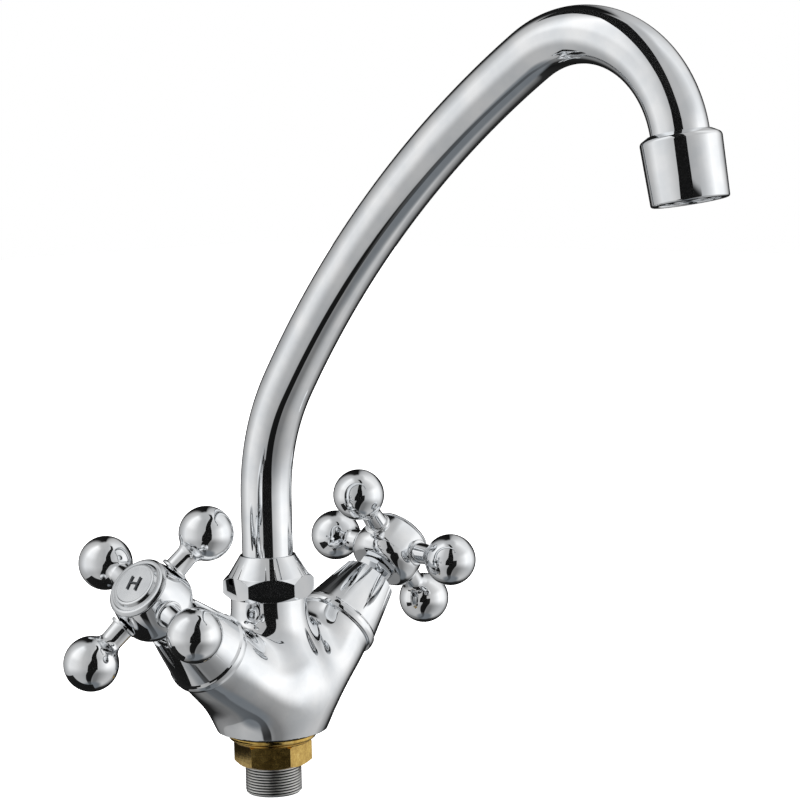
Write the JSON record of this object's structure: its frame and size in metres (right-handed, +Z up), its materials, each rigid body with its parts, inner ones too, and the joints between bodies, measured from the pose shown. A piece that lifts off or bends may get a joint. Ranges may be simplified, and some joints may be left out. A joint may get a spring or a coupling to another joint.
{
  "type": "kitchen mixer tap",
  "caption": "Deck-mounted kitchen mixer tap with cross handles on angled branches and a tall swivelling hook spout",
  "frame": {"origin": "middle of the round rim that stands on the deck, in the plane of that rim", "axes": "+Z up out of the deck along the spout's swivel axis, -Y the way the spout points at rest, -X the side of the hot handle and +X the side of the cold handle"},
  "size_m": [0.1769, 0.2277, 0.2706],
  "materials": {
    "chrome_plate": "mirror",
    "chrome_cap": "satin",
    "nickel_thread": "satin",
    "bare_brass": "machined",
    "black_rubber": "matte",
    "dark_plastic": "matte",
    "white_plastic": "matte",
    "ceramic_disc": "lapped",
    "spring_steel": "plain"
  },
  "bodies": {
    "tap_body": {"mixer_body": "chrome_plate", "base_gasket": "black_rubber", "fixing_nut": "bare_brass", "threaded_shank": "nickel_thread", "spout_nut": "chrome_plate", "lower_slip_ring": "white_plastic", "upper_slip_ring": "white_plastic", "hot_seat_seal": "black_rubber", "hot_fixed_disc": "ceramic_disc", "hot_headwork_gasket": "white_plastic", "hot_headwork_body": "bare_brass", "hot_bonnet": "chrome_plate", "cold_seat_seal": "black_rubber", "cold_fixed_disc": "ceramic_disc", "cold_headwork_gasket": "white_plastic", "cold_headwork_body": "bare_brass", "cold_bonnet": "chrome_plate"},
    "spout": {"spout_bush": "bare_brass", "spout_o_rings": "black_rubber", "spout_tube": "chrome_plate", "outlet_fitting": "chrome_plate", "aerator_washer": "black_rubber", "aerator_housing": "chrome_plate", "aerator_insert": "dark_plastic"},
    "hot_handle": {"hot_spindle": "bare_brass", "hot_moving_disc": "ceramic_disc", "hot_spindle_o_ring": "black_rubber", "hot_spindle_circlip": "spring_steel", "hot_handle_hub": "chrome_plate", "hot_handle_arms": "chrome_plate", "hot_handle_screw": "spring_steel", "hot_index_cap": "chrome_cap"},
    "cold_handle": {"cold_spindle": "bare_brass", "cold_moving_disc": "ceramic_disc", "cold_spindle_o_ring": "black_rubber", "cold_spindle_circlip": "spring_steel", "cold_handle_hub": "chrome_plate", "cold_handle_arms": "chrome_plate", "cold_handle_screw": "spring_steel", "cold_index_cap": "chrome_cap"}
  },
  "joints": [
    {"name": "spout_swivel", "type": "hinge", "parent": "tap_body", "child": "spout", "pos_m": [0, 0, 0.0475], "axis": [0, 0, 1], "continuous": true},
    {"name": "hot_valve_turn", "type": "hinge", "parent": "tap_body", "child": "hot_handle", "pos_m": [-0.06095, -0.00426, 0.05677], "axis": [-0.7642, -0.0534, 0.6428], "range_deg": [0, 90]},
    {"name": "cold_valve_turn", "type": "hinge", "parent": "tap_body", "child": "cold_handle", "pos_m": [0.06095, -0.00426, 0.05677], "axis": [0.7642, -0.0534, 0.6428], "range_deg": [0, 90]}
  ]
}
